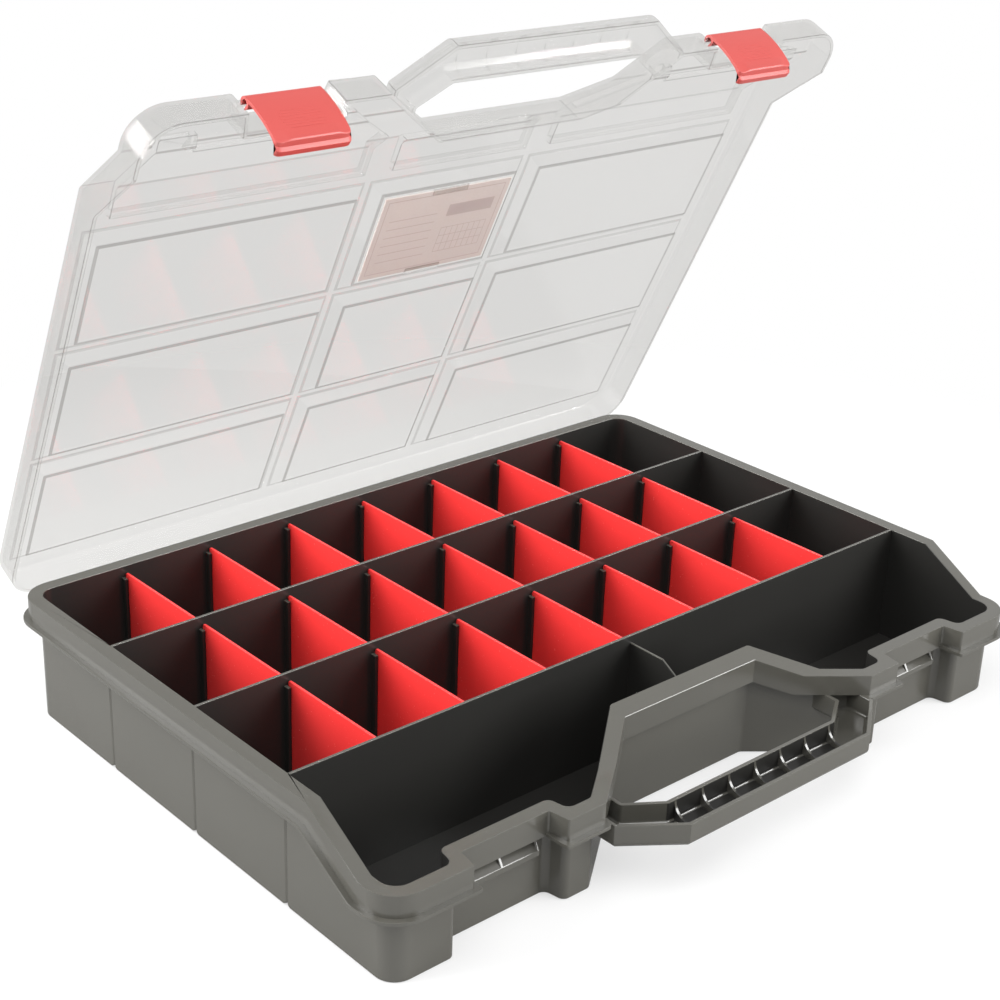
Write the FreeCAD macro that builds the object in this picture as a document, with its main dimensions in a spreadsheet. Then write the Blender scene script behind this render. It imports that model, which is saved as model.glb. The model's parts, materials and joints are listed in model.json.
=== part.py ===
import FreeCAD, Part
import os
import re
import Sketcher
from FreeCAD import Placement, Rotation, Vector

# Compartment storage box: a dark moulded tray with three rows of cells and a
# low front compartment, removable red dividers, a clear lid on a rear hinge,
# two snap latches hung on the lid and a carry handle split between both halves.
# Frame: +X to the right, +Y to the back, +Z up, origin on the floor plane in
# the middle of the inner plan. Lengths are in millimetres, angles in degrees.

SIZES = (
    ("inner_width", 434.0, "clear width between the side walls"),
    ("row_depth", 74.7, "clear depth of each row and of the front compartment"),
    ("web_thickness", 1.6, "fixed long walls between the rows"),
    ("wall_thickness", 2.0, "outer walls of the tray"),
    ("floor_thickness", 2.2, "floor of the tray"),
    ("corner_radius", 9.0, "inner plan corners"),
    ("inner_round", 4.5, "rounded inner corners along the front"),
    ("outer_round", 4.0, "rounded wall corners along the front"),
    ("rim_round", 1.2, "rounded rim and flange corners along the front"),
    ("rim_top", 70.8, "height of the rim over the rows"),
    ("front_drop", 21.1, "height lost along the sloping front"),
    ("slope_angle", 30.0, "slope of the front part of the rim"),
    ("slope_start", 50.8, "front inner face to the top of the slope"),
    ("rim_width", 8.0, "top face of the rim"),
    ("rim_height", 11.6, "rim top to flange top"),
    ("rim_skin", 1.8, "wall of the hollow rim"),
    ("flange_width", 11.0, "inner face to the outer edge of the flange"),
    ("flange_thickness", 2.0, "flange that the lid closes on"),
    ("recess_depth", 38.8, "finger recess behind the handle"),
    ("recess_run", 49.8, "sideways run of the sloping recess sides"),
    ("seat_recess_gap", 13.9, "finger recess to the latch seat"),
    ("seat_side_gap", 32.8, "side wall to the latch seat"),
    ("seat_depth", 11.7, "latch seat set back into the front"),
    ("seat_front_width", 70.0, "latch seat at the front face"),
    ("seat_taper", 2.0, "latch seat narrower at its back, on each side"),
    ("ledge_reach", 4.7, "catch ledge in front of the seat wall"),
    ("ledge_height", 26.0, "underside of the catch ledge"),
    ("ledge_thickness", 3.0, "catch ledge at its edge"),
    ("gusset_thickness", 1.6, "ribs that carry the catch ledge"),
    ("groove_width", 5.0, "notches below the long walls"),
    ("groove_depth", 1.4, "notches below the long walls"),
    ("groove_length", 12.0, "notches in from the side faces"),
    ("divider_height", 64.4, "removable divider"),
    ("divider_thickness", 1.6, "removable divider"),
    ("divider_end_gap", 0.3, "divider end to the long wall"),
    ("divider_side_gap", 0.2, "divider face to the guide rib"),
    ("divider_corner", 0.6, "cut corners at the top of a divider"),
    ("guide_proud", 3.4, "guide rib in front of its wall"),
    ("guide_thickness", 2.0, "guide rib"),
    ("guide_drop", 2.4, "guide rib top below the divider top"),
    ("partition_thickness", 1.4, "fixed partition of the front compartment"),
    ("partition_drop", 4.3, "partition top below the rim"),
    ("handle_reach", 33.5, "front inner face to the front of the handle"),
    ("handle_root_inset", 4.8, "recess edge to the root of the handle arm"),
    ("handle_taper", 29.3, "front corners of the handle inside its root"),
    ("handle_root_out", 12.2, "front inner face to the bend of the arms"),
    ("grip_inset", 5.4, "finger opening inside the front corners"),
    ("grip_out", 11.9, "front inner face to the inner face of the bar"),
    ("arm_width", 16.8, "handle arms where they leave the case"),
    ("handle_wall", 2.2, "channel walls of the handle"),
    ("tray_handle_height", 12.9, "tray half of the handle"),
    ("tray_handle_round", 4.0, "rounded lower edges of the tray half"),
    ("lid_handle_height", 11.0, "lid half of the handle"),
    ("lid_handle_round", 7.5, "rounded upper edges of the lid half"),
    ("handle_rib", 1.4, "cross ribs in the handle"),
    ("lid_wall", 2.0, "clear lid"),
    ("lid_round", 3.0, "rounded upper edge of the lid"),
    ("lid_gap", 0.5, "lid skirt to the rim"),
    ("lid_seat_gap", 0.3, "closed lid skirt above the flange"),
    ("window_gap", 0.6, "closed window above the long walls"),
    ("window_depth", 3.2, "windows sunk below the lid ribs"),
    ("window_slope", 6.0, "run of the sloping window sides"),
    ("window_web_margin", 8.0, "window edge to the long wall below it"),
    ("window_side_margin", 4.3, "window edge to the side wall below it"),
    ("centre_window_width", 91.8, "middle column of windows"),
    ("window_column_gap", 17.4, "rib between two columns of windows"),
    ("front_window_margin", 7.0, "front windows to the inner face below them"),
    ("hinge_side_gap", 77.0, "side wall to the outer hinge stations"),
    ("hinge_pin_radius", 2.0, "pins moulded on the tray"),
    ("hinge_clearance", 0.08, "knuckle bore around its pin"),
    ("hinge_end_gap", 0.4, "knuckle end to its lug"),
    ("hinge_standoff", 0.5, "knuckle to the edge of the flange"),
    ("knuckle_radius", 4.0, "knuckles and lugs"),
    ("knuckle_length", 24.0, "knuckles on the lid"),
    ("knuckle_mouth", 3.2, "snap mouth of a knuckle"),
    ("lug_thickness", 5.0, "lugs on the tray"),
    ("lid_open_angle", 64.2, "lid angle from closed, as it stands"),
    ("latch_side_gap", 6.0, "axle length that shows on each side of the latch"),
    ("latch_length", 30.0, "axle to the end of the latch"),
    ("latch_plate", 1.6, "latch plate"),
    ("latch_lean_angle", 10.0, "latch leans in towards its catch, as it hangs"),
    ("latch_bow_radius", 60.0, "outer bow of the latch plate"),
    ("latch_bow_centre", 14.0, "axle to the crest of the bow"),
    ("latch_lip", 5.6, "finger lip in front of the axle"),
    ("latch_lip_height", 3.2, "finger lip above the end of the latch"),
    ("latch_lip_run", 5.0, "flare that leads to the finger lip"),
    ("hook_reach", 2.6, "hook behind the axle"),
    ("hook_thickness", 1.8, "hook"),
    ("barrel_radius", 3.1, "latch barrel"),
    ("axle_radius", 1.6, "latch axle on the lid"),
    ("axle_clearance", 0.08, "barrel bore around its axle"),
    ("axle_back", 3.6, "lid front face to the axle"),
    ("axle_drop", 5.0, "lid front top to the axle"),
    ("barrel_mouth", 2.7, "snap mouth of the barrel"),
    ("card_thickness", 0.5, "label card"),
    ("card_gap", 0.1, "label card to the window and to its tabs"),
    ("card_margin", 2.4, "label card inside the window"),
    ("tab_thickness", 0.6, "tabs that hold the card"),
    ("tab_lip", 2.4, "overlap of a tab on the card"),
    ("tab_post", 1.4, "post of a tab"),
    ("tab_width", 24.0, "tab along the card"),
)
ALIASES = {alias for alias, value, meaning in SIZES}
CELLS_ACROSS = 8
ROW_NAMES = ("rear", "middle", "front")
HANDLE_RIBS = 7

doc = FreeCAD.newDocument("storage_box")
sheet = doc.addObject("Spreadsheet::Sheet", "sizes")
for row, (alias, value, meaning) in enumerate(SIZES, start=1):
    sheet.set(f"A{row}", meaning)
    sheet.set(f"B{row}", str(value))
    sheet.setAlias(f"B{row}", alias)
doc.recompute()

# Places worked out from the driving sizes
HALF = "(inner_width/2)"
DEPTH = "(4*row_depth + 3*web_thickness)"
REAR = f"({DEPTH}/2)"
FRONT = f"(-{DEPTH}/2)"
PITCH = "(row_depth + web_thickness)"
CELL = f"(inner_width/{CELLS_ACROSS})"
BEND = f"({FRONT} + slope_start)"
SLOPE_END = f"({BEND} - front_drop/tan(slope_angle))"
FRONT_TOP = "(rim_top - front_drop)"
FRONT_FLANGE = f"({FRONT_TOP} - rim_height)"
RECESS_BACK = f"({FRONT} + recess_depth)"
SEAT = f"({HALF} - seat_side_gap - seat_front_width/2)"
SEAT_BACK_WIDTH = "(seat_front_width - 2*seat_taper)"
SEAT_BACK = f"({FRONT} + seat_depth)"
RECESS_HALF = f"({SEAT} - seat_front_width/2 - seat_recess_gap)"
RECESS_BACK_HALF = f"({RECESS_HALF} - recess_run)"
HANDLE_ROOT = f"({RECESS_HALF} - handle_root_inset)"
HANDLE_FRONT = f"({HANDLE_ROOT} - handle_taper)"
GRIP_ROOT = f"({HANDLE_ROOT} - arm_width)"
GRIP_FRONT = f"({HANDLE_FRONT} - grip_inset)"
LID_OFFSET = "(rim_width + lid_gap + lid_wall)"
LID_IN = "(window_gap + window_depth)"
LID_OUT = f"({LID_IN} + lid_wall)"
HINGE_Y = f"({REAR} + flange_width + hinge_standoff + knuckle_radius)"
HINGE_Z = "(rim_top - rim_height)"
HINGE_X = f"({HALF} - hinge_side_gap)"
AXLE_Y = f"({FRONT} - {LID_OFFSET} + axle_back)"
AXLE_Z = f"({FRONT_TOP} + {LID_OUT} - axle_drop)"
AXLE_LENGTH = "(seat_front_width - 2*(rim_width + lid_gap))"
LATCH_WIDTH = f"({AXLE_LENGTH} - 2*latch_side_gap)"
DIVIDER_TOP = "(floor_thickness + divider_height)"
CARD_TOP = "(rim_top + window_gap - card_gap)"
GUIDE_OFFSET = "(divider_thickness/2 + divider_side_gap)"
ACROSS = "(2*inner_width)"


def bound(text):
    """An expression with every size name pointed at the sheet."""
    return re.sub(r"[a-z_]+", lambda m: f"sizes.{m[0]}" if m[0] in ALIASES else m[0], text)


def number(text):
    return float(sheet.evalExpression(text))


def bind(obj, bindings):
    for name, text in bindings.items():
        obj.setExpression(name, bound(text))
    return obj


def place(obj, x="0", y="0", z="0"):
    return bind(obj, {"Placement.Base.x": x, "Placement.Base.y": y, "Placement.Base.z": z})


def hold(sketch, geometry, point, text, axis):
    """Hold one coordinate of a sketch point to an expression."""
    index = sketch.addConstraint(
        Sketcher.Constraint(f"Distance{axis}", -1, 1, geometry, point, number(text)))
    sketch.setExpression(f"Constraints[{index}]", bound(text))


def draw(sketch, path):
    """Draw a closed path whose corners are held by expressions.

    A corner is (x, y). One that is reached along an arc is (x, y, cx, cy, turn), with the
    arc's centre and a turn of 1 for anticlockwise or -1 for clockwise.
    """
    starts = []
    for here, after in zip(path, path[1:] + path[:1]):
        first = Vector(number(here[0]), number(here[1]), 0)
        last = Vector(number(after[0]), number(after[1]), 0)
        turn = after[4] if len(after) > 2 else 0
        if turn == 0:
            sketch.addGeometry(Part.LineSegment(first, last), False)
        else:
            centre = Vector(number(after[2]), number(after[3]), 0)
            circle = Part.Circle(centre, Vector(0, 0, 1), (first - centre).Length)
            ends = [circle.parameter(first), circle.parameter(last)][::turn]
            sketch.addGeometry(Part.ArcOfCircle(circle, *ends), False)
        starts.append(2 if turn < 0 else 1)
    for i, corner in enumerate(path):
        before = i - 1 if i else len(path) - 1
        sketch.addConstraint(Sketcher.Constraint("Coincident", before, 3 - starts[before], i, starts[i]))
        hold(sketch, i, starts[i], corner[0], "X")
        hold(sketch, i, starts[i], corner[1], "Y")
        if len(corner) > 2:
            hold(sketch, before, 3, corner[2], "X")
    return sketch


def plan(name, path):
    return draw(doc.addObject("Sketcher::SketchObject", name), path)


def side(name, path):
    """A sketch of (y, z) corners, seen along the width."""
    sketch = doc.addObject("Sketcher::SketchObject", name)
    sketch.Placement = Placement(Vector(), Rotation(0.5, 0.5, 0.5, 0.5))
    return draw(sketch, path)


def offset(name, source, distance):
    result = doc.addObject("Part::Offset2D", name)
    result.Source = source
    result.Join = "Intersection"
    return bind(result, {"Value": distance})


def raise_up(name, base, height, z="0"):
    solid = doc.addObject("Part::Extrusion", name)
    solid.Base = base
    solid.DirMode = "Normal"
    solid.Solid = True
    return place(bind(solid, {"LengthFwd": height}), z=z)


def across(name, base, width=ACROSS, x="0"):
    solid = doc.addObject("Part::Extrusion", name)
    solid.Base = base
    solid.DirMode = "Normal"
    solid.Solid = True
    solid.Symmetric = True
    bind(solid, {"LengthFwd": width})
    return place(solid, x=x)


def block(name, x, y, z, length, width, height):
    """A box from its low corner."""
    solid = doc.addObject("Part::Box", name)
    bind(solid, {"Length": length, "Width": width, "Height": height})
    return place(solid, x, y, z)


def bar(name, radius, length, x, y, z):
    """A round bar along the width, centred at x."""
    solid = doc.addObject("Part::Cylinder", name)
    solid.Placement = Placement(Vector(), Rotation(Vector(0, 1, 0), 90))
    bind(solid, {"Radius": radius, "Height": length})
    return place(solid, f"{x} - ({length})/2", y, z)


def cut(name, base, tool):
    result = doc.addObject("Part::Cut", name)
    result.Base, result.Tool = base, tool
    result.Refine = True
    return result


def fuse(name, *shapes):
    result = doc.addObject("Part::MultiFuse", name)
    result.Shapes = list(shapes)
    result.Refine = True
    return result


def common(name, *shapes):
    result = doc.addObject("Part::MultiCommon", name)
    result.Shapes = list(shapes)
    result.Refine = True
    return result


# Side profile of the case, flat over the rows, sloping, then flat at the front
def profile_line(drop):
    shift = f"({drop})*tan(slope_angle/2)"
    high = f"rim_top - ({drop})"
    low = f"{FRONT_TOP} - ({drop})"
    return [(DEPTH, high), (f"{BEND} + {shift}", high), (f"{SLOPE_END} + {shift}", low), (f"-{DEPTH}", low)]


def band(name, upper, lower):
    """Everything between two lines that run below the rim top by these drops."""
    return across(name, side(f"{name}_line", profile_line(upper) + profile_line(lower)[::-1]))


def below(name, drop):
    path = profile_line(drop) + [(f"-{DEPTH}", "-rim_top"), (DEPTH, "-rim_top")]
    return across(name, side(f"{name}_line", path))


# Plan outline of the inner face, with the finger recess and the two latch seats
def inner_outline():
    right, left, radius = HALF, f"-{HALF}", "corner_radius"
    front_half, back_half = "seat_front_width/2", f"{SEAT_BACK_WIDTH}/2"
    path = [
        (right, f"{REAR} - {radius}"),
        (f"{right} - {radius}", REAR, f"{right} - {radius}", f"{REAR} - {radius}", 1),
        (f"{left} + {radius}", REAR),
        (left, f"{REAR} - {radius}", f"{left} + {radius}", f"{REAR} - {radius}", 1),
        (left, f"{FRONT} + {radius}"),
        (f"{left} + {radius}", FRONT, f"{left} + {radius}", f"{FRONT} + {radius}", 1),
    ]
    recess = [
        (f"-{RECESS_HALF}", FRONT),
        (f"-{RECESS_BACK_HALF}", RECESS_BACK),
        (RECESS_BACK_HALF, RECESS_BACK),
        (RECESS_HALF, FRONT),
    ]
    for centre, after in ((f"-{SEAT}", recess), (SEAT, [])):
        path += [
            (f"{centre} - {front_half}", FRONT),
            (f"{centre} - {back_half}", SEAT_BACK),
            (f"{centre} + {back_half}", SEAT_BACK),
            (f"{centre} + {front_half}", FRONT),
        ]
        path += after
    path += [
        (f"{right} - {radius}", FRONT),
        (right, f"{FRONT} + {radius}", f"{right} - {radius}", f"{FRONT} + {radius}", 1),
    ]
    return plan("inner_outline", path)


inner = inner_outline()
wall_line = offset("wall_line", inner, "wall_thickness")
rim_line = offset("rim_line", inner, "rim_width")
flange_line = offset("flange_line", inner, "flange_width")
channel_line = offset("channel_line", inner, "rim_width - rim_skin")
lid_in_line = offset("lid_in_line", inner, "rim_width + lid_gap")
lid_out_line = offset("lid_out_line", inner, LID_OFFSET)
TALL = f"(rim_top + 2*{LID_OUT})"


def rounded_upright(name, base, radius):
    """Round the upright edges where two flat sides of a piece meet."""
    doc.recompute()
    result = doc.addObject("Part::Fillet", name)
    result.Base = base
    edges = []
    for index, edge in enumerate(base.Shape.Edges, start=1):
        faces = base.Shape.ancestorsOfType(edge, Part.Face)
        if all(isinstance(f.Surface, Part.Plane) and abs(f.normalAt(0, 0).z) < 1e-6 for f in faces):
            edges.append((index, number(radius), number(radius)))
    result.Edges = edges
    return result


# Carry handle: a bar on two arms, an open channel in each half of the case
def handle_path():
    tail = f"{FRONT} + recess_depth/2"
    outer = [
        (HANDLE_ROOT, tail),
        (HANDLE_ROOT, f"{FRONT} - handle_root_out"),
        (HANDLE_FRONT, f"{FRONT} - handle_reach"),
    ]
    grip = [
        (GRIP_FRONT, f"{FRONT} - grip_out"),
        (GRIP_ROOT, FRONT),
        (GRIP_ROOT, tail),
    ]
    right = outer[::-1] + [grip[2], grip[1], grip[0]]
    left = [(f"-{x}", y) for x, y in right]
    return left[::-1] + right


BAR_CENTRE = f"({FRONT} - (handle_reach + grip_out)/2)"
BAR_HALF = "((handle_reach - grip_out)/2)"


def origin_plane(body, role):
    return next(f for f in body.Origin.OriginFeatures if f.Role == role)


def body_sketch(body, name, role):
    sketch = body.newObject("Sketcher::SketchObject", name)
    sketch.AttachmentSupport = [(origin_plane(body, role), "")]
    sketch.MapMode = "FlatFace"
    return sketch


def pad(body, sketch, name, length, both_ways=True):
    feature = body.newObject("PartDesign::Pad", name)
    feature.Profile = sketch
    feature.Midplane = both_ways
    return bind(feature, {"Length": length})


def level_face(feature, level):
    """Name of the face that lies flat at this height of its body."""
    doc.recompute()
    for index, face in enumerate(feature.Shape.Faces, start=1):
        box = face.BoundBox
        if abs(box.ZMin - level) < 1e-4 and abs(box.ZMax - level) < 1e-4:
            return f"Face{index}"
    raise RuntimeError(f"{feature.Label} has no flat face at {level}")


def handle_half(name, bottom, height, open_side, rounding):
    """One half of the handle: a rounded shell, open upwards (1) or downwards (-1), with cross ribs."""
    body = doc.addObject("PartDesign::Body", f"{name}_handle_shell")
    solid = pad(body, draw(body_sketch(body, f"{name}_handle_plan", "XY_Plane"), handle_path()),
                f"{name}_handle_block", height, False)
    levels = {1: (number(height), 0.0), -1: (0.0, number(height))}
    mouth_level, round_level = levels[open_side]
    edges = body.newObject("PartDesign::Fillet", f"{name}_handle_edges")
    edges.Base = (solid, [level_face(solid, round_level)])
    bind(edges, {"Radius": rounding})
    shell = body.newObject("PartDesign::Thickness", f"{name}_handle_wall")
    shell.Base = (edges, [level_face(edges, mouth_level)])
    shell.Reversed = True
    shell.Join = "Arc"
    bind(shell, {"Value": "handle_wall"})
    place(body, z=bottom)
    mouth = f"({bottom} + {height})" if open_side > 0 else bottom
    low = f"({bottom} + handle_wall)" if open_side > 0 else bottom
    ribs = []
    for i in range(HANDLE_RIBS):
        x = f"(2*{HANDLE_FRONT}/{HANDLE_RIBS}*{i - (HANDLE_RIBS - 1) / 2})"
        ribs.append(block(f"{name}_rib_{i}", f"{x} - handle_rib/2", f"{BAR_CENTRE} - {BAR_HALF} + handle_wall/2",
                          low, "handle_rib", f"2*{BAR_HALF} - handle_wall", f"{height} - handle_wall"))
    webs = fuse(f"{name}_ribs", *ribs)
    if open_side < 0:
        arch = bar(f"{name}_arch", f"{BAR_HALF} - handle_wall/2", ACROSS, "0", BAR_CENTRE,
                   f"{bottom} + {height} - {BAR_HALF}")
        webs = common(f"{name}_arched_ribs", webs, arch)
    scoop = bar(f"{name}_scoop", f"{BAR_HALF} - handle_wall", ACROSS, "0", BAR_CENTRE, mouth)
    return fuse(f"{name}_handle", body, cut(f"{name}_webs", webs, scoop))


# Tray: walls, hollow rim and flange, handle half and hinge lugs, then the cavity
def seat_boxes():
    """The clear space in front of each latch seat."""
    width = f"({SEAT_BACK_WIDTH} - 2*rim_width)"
    face = f"({SEAT_BACK} - rim_width)"
    reach = "(seat_depth + 2*flange_width)"
    boxes = []
    for name, centre in (("left", f"-{SEAT}"), ("right", SEAT)):
        boxes.append(block(f"seat_space_{name}", f"{centre} - {width}/2", f"{face} - {reach}", "0",
                           width, reach, "rim_top"))
    return fuse("seat_spaces", *boxes)


def hinge_stations():
    return [("left", f"-{HINGE_X}"), ("centre", "0"), ("right", HINGE_X)]


def tray_lugs():
    pieces = []
    out = "(knuckle_length/2 + hinge_end_gap)"
    start = f"({REAR} + wall_thickness/2)"
    for name, x in hinge_stations():
        pieces.append(bar(f"pin_{name}", "hinge_pin_radius", f"2*{out} + lug_thickness", x, HINGE_Y, HINGE_Z))
        for hand, sign in (("near", "-"), ("far", "+")):
            centre = f"({x} {sign} ({out} + lug_thickness/2))"
            pieces.append(bar(f"lug_{name}_{hand}", "knuckle_radius", "lug_thickness", centre, HINGE_Y, HINGE_Z))
            pieces.append(block(f"neck_{name}_{hand}", f"{centre} - lug_thickness/2", start,
                                f"{HINGE_Z} - knuckle_radius", "lug_thickness", f"{HINGE_Y} - {start}",
                                "knuckle_radius"))
    return pieces


def tray_catches():
    """A ledge in each seat for the latch hook, carried by three small gussets."""
    pieces = []
    width = f"({SEAT_BACK_WIDTH} - 2*rim_width - 2*lid_wall)"
    wall = f"({SEAT_BACK} - wall_thickness)"
    edge = f"({wall} - ledge_reach)"
    root = f"({wall} + wall_thickness/2)"
    top = "(ledge_height + ledge_thickness)"
    rise = "(ledge_height + ledge_thickness + ledge_reach)"
    ledge = [(edge, "ledge_height"), (root, "ledge_height"), (root, rise), (edge, top)]
    gusset = [(edge, top), (root, "ledge_height"), (root, f"{FRONT_FLANGE}")]
    for name, centre in (("left", f"-{SEAT}"), ("right", SEAT)):
        pieces.append(across(f"ledge_{name}", side(f"ledge_{name}_line", ledge), width, centre))
        for i, share in enumerate((-0.5, 0, 0.5)):
            x = f"{centre} + {share}*({width} - gusset_thickness)"
            line = side(f"gusset_{name}_{i}_line", gusset)
            pieces.append(across(f"gusset_{name}_{i}", line, "gusset_thickness", x))
    return pieces


def web_place(index):
    """Middle of a fixed long wall, counted from the back."""
    return f"({REAR} - {index + 1}*{PITCH} + web_thickness/2)"


def divider_place(index):
    return f"({CELL}*{index} - {HALF})"


def tray_inside():
    """Long walls, the front partition and the pairs of guide ribs."""
    pieces = []
    bed = "(floor_thickness/2)"
    for i in range(len(ROW_NAMES)):
        pieces.append(block(f"web_{i}", f"-{HALF} - wall_thickness/2", f"{web_place(i)} - web_thickness/2", bed,
                            "inner_width + wall_thickness", "web_thickness", f"rim_top - {bed}"))
    last = web_place(len(ROW_NAMES) - 1)
    run = f"({last} - {RECESS_BACK} + wall_thickness/2)"
    sheet_block = block("partition_block", "-partition_thickness/2", f"{last} - {run}", bed,
                        "partition_thickness", run, f"rim_top - {bed}")
    pieces.append(common("partition", sheet_block, below("partition_top", "partition_drop")))
    height = f"({DIVIDER_TOP} - guide_drop - {bed})"
    for row, row_name in enumerate(ROW_NAMES):
        back = f"({REAR} - {row}*{PITCH})"
        for end, y in (("back", f"{back} - guide_proud"), ("front", f"{back} - row_depth - web_thickness/2")):
            depth = "guide_proud + web_thickness/2"
            for i in range(1, CELLS_ACROSS):
                for hand, x in (("near", f"{divider_place(i)} - {GUIDE_OFFSET} - guide_thickness"),
                                ("far", f"{divider_place(i)} + {GUIDE_OFFSET}")):
                    pieces.append(block(f"guide_{row_name}_{end}_{i}_{hand}", x, y, bed,
                                        "guide_thickness", depth, height))
    return pieces


def tray_grooves():
    """V notches in the bottom edge of the side walls, and V grooves up their outside."""
    pieces = []
    for i in range(len(ROW_NAMES)):
        y = web_place(i)
        notch = [(f"{y} - groove_width/2", "0"), (f"{y} + groove_width/2", "0"), (y, "groove_depth")]
        for name, sign in (("left", "-"), ("right", "")):
            face = f"{sign}({HALF} + wall_thickness)"
            bottom = f"{sign}({HALF} + wall_thickness - groove_depth/2)"
            line = side(f"notch_{i}_{name}_line", notch)
            pieces.append(across(f"notch_{i}_{name}", line, "2*groove_length", face))
            groove = [(face, f"{y} - groove_width/4"), (face, f"{y} + groove_width/4"), (bottom, y)]
            line = plan(f"side_groove_{i}_{name}_line", groove)
            pieces.append(raise_up(f"side_groove_{i}_{name}", line, f"{HINGE_Z} - 2*flange_thickness"))
    return pieces


def tray():
    wall_block = rounded_upright("wall_rounded", raise_up("wall_block", wall_line, "rim_top"), "outer_round")
    rim_block = rounded_upright("rim_rounded", raise_up("rim_block", rim_line, "rim_top"), "rim_round")
    flange_block = rounded_upright("flange_rounded", raise_up("flange_block", flange_line, "rim_top"), "rim_round")
    walls = common("tray_walls", wall_block, below("rim_cover", "0"))
    rim = common("tray_rim", rim_block, band("rim_band", "0", "rim_height"))
    flange = common("tray_flange", flange_block, band("flange_band", "rim_height", "rim_height + flange_thickness"))
    recess = block("recess_clear", f"-{HANDLE_ROOT}", f"{FRONT} - 2*flange_width", "0", f"2*{HANDLE_ROOT}",
                   f"{RECESS_BACK} - {FRONT} + 2*flange_width", TALL)
    flange = cut("tray_flange_cut", flange, fuse("flange_clear", seat_boxes(), recess))
    ring = cut("channel_ring", raise_up("channel_block", channel_line, "rim_top"),
               raise_up("channel_core", wall_line, "rim_top"))
    channel = common("rim_channel", ring, band("channel_band", "rim_skin", "rim_height + 2*flange_thickness"))
    shell = cut("tray_shell", fuse("tray_outside", walls, rim, flange), channel)
    handle = handle_half("tray", f"({FRONT_FLANGE} - tray_handle_height)", "tray_handle_height", 1,
                         "tray_handle_round")
    solid = fuse("tray_solid", shell, handle, *tray_lugs(), *tray_catches())
    cavity_block = raise_up("cavity_block", inner, TALL, "floor_thickness")
    cavity = rounded_upright("tray_cavity", cavity_block, "inner_round")
    filled = fuse("tray_filled", cut("tray_hollow", solid, cavity), *tray_inside())
    return cut("tray", filled, fuse("tray_groove_set", *tray_grooves()))


# Lid, modelled closed and then swung open about the hinge
def wedge(name, x, y, z, half_x, half_y, height, spread):
    """A block on a rectangle that widens upwards by spread on every side."""
    solid = doc.addObject("Part::Wedge", name)
    solid.Placement = Placement(Vector(), Rotation(Vector(1, 0, 0), 90))
    bind(solid, {
        "Xmin": f"-({half_x})", "Xmax": half_x, "Zmin": f"-({half_y})", "Zmax": half_y,
        "X2min": f"-({half_x} + {spread})", "X2max": f"{half_x} + {spread}",
        "Z2min": f"-({half_y} + {spread})", "Z2max": f"{half_y} + {spread}",
        "Ymin": "0", "Ymax": height,
    })
    return place(solid, x, y, z)


def window_columns():
    """Name, middle and half width of each column of windows."""
    inside = "(centre_window_width/2 + window_column_gap)"
    outside = f"({HALF} - window_side_margin)"
    middle = f"(({inside} + {outside})/2)"
    half = f"(({outside} - {inside})/2)"
    return [("left", f"-{middle}", half), ("centre", "0", "(centre_window_width/2)"), ("right", middle, half)]


def lid_windows():
    """The sunk window panes of the three rows: what they add and what they clear."""
    added, cleared = [], []
    half_y = "((row_depth + web_thickness)/2 - window_web_margin)"
    pane = "(rim_top + window_gap)"
    overlap = "(lid_wall/2)"
    grow = f"(window_slope*({overlap} + window_depth)/window_depth)"
    for row, row_name in enumerate(ROW_NAMES):
        y = f"({REAR} - {row}*{PITCH} - row_depth/2)"
        for column, x, half_x in window_columns():
            name = f"{row_name}_{column}"
            height = f"window_depth + {overlap}"
            added.append(wedge(f"pane_{name}", x, y, pane, half_x, half_y, height, grow))
            cleared.append(wedge(f"sink_{name}", x, y, f"{pane} + lid_wall", half_x, half_y, height, grow))
    return added, cleared


def lid_front_windows():
    """The front windows follow the slope, the corners, the latch seats and the recess."""
    added, cleared = [], []
    back = f"({web_place(len(ROW_NAMES) - 1)} - window_web_margin)"
    edge = offset("front_window_line", inner, "-front_window_margin")
    inset = offset("front_sink_line", inner, "-front_window_margin - lid_wall")
    for column, x, half_x in window_columns():
        pane = block(f"front_pane_{column}", f"{x} - {half_x}", f"-{DEPTH}", "0",
                     f"2*{half_x}", f"{DEPTH} + {back}", TALL)
        added.append(pane)
        cleared.append(block(f"front_sink_{column}", f"{x} - {half_x} + lid_wall", f"-{DEPTH}", "0",
                             f"2*{half_x} - 2*lid_wall", f"{DEPTH} + {back} - lid_wall", TALL))
    panes = common("front_panes", raise_up("front_edge", edge, TALL), fuse("front_pane_set", *added),
                   band("front_pane_band", "-window_gap", f"-{LID_OUT}"))
    sinks = common("front_sinks", raise_up("front_inset", inset, TALL), fuse("front_sink_set", *cleared),
                   band("front_sink_band", "-window_gap - lid_wall", f"-{LID_OUT} - lid_wall"))
    return panes, sinks


def lid_knuckles():
    pieces = []
    start = f"({REAR} + {LID_OFFSET} - lid_wall/2)"
    for name, x in hinge_stations():
        barrel = bar(f"knuckle_{name}", "knuckle_radius", "knuckle_length", x, HINGE_Y, HINGE_Z)
        arm = block(f"knuckle_arm_{name}", f"{x} - knuckle_length/2", start, f"{HINGE_Z} + lid_seat_gap",
                    "knuckle_length", f"{HINGE_Y} - {start}", "knuckle_radius - lid_seat_gap")
        bore = bar(f"knuckle_bore_{name}", "hinge_pin_radius + hinge_clearance", "2*knuckle_length", x,
                   HINGE_Y, HINGE_Z)
        mouth = block(f"knuckle_mouth_{name}", f"{x} - knuckle_length", f"{HINGE_Y} - knuckle_mouth/2",
                      f"{HINGE_Z} - 2*knuckle_radius", "2*knuckle_length", "knuckle_mouth", "2*knuckle_radius")
        pieces.append(cut(f"knuckle_clip_{name}", fuse(f"knuckle_solid_{name}", barrel, arm),
                          fuse(f"knuckle_space_{name}", bore, mouth)))
    return pieces


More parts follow.
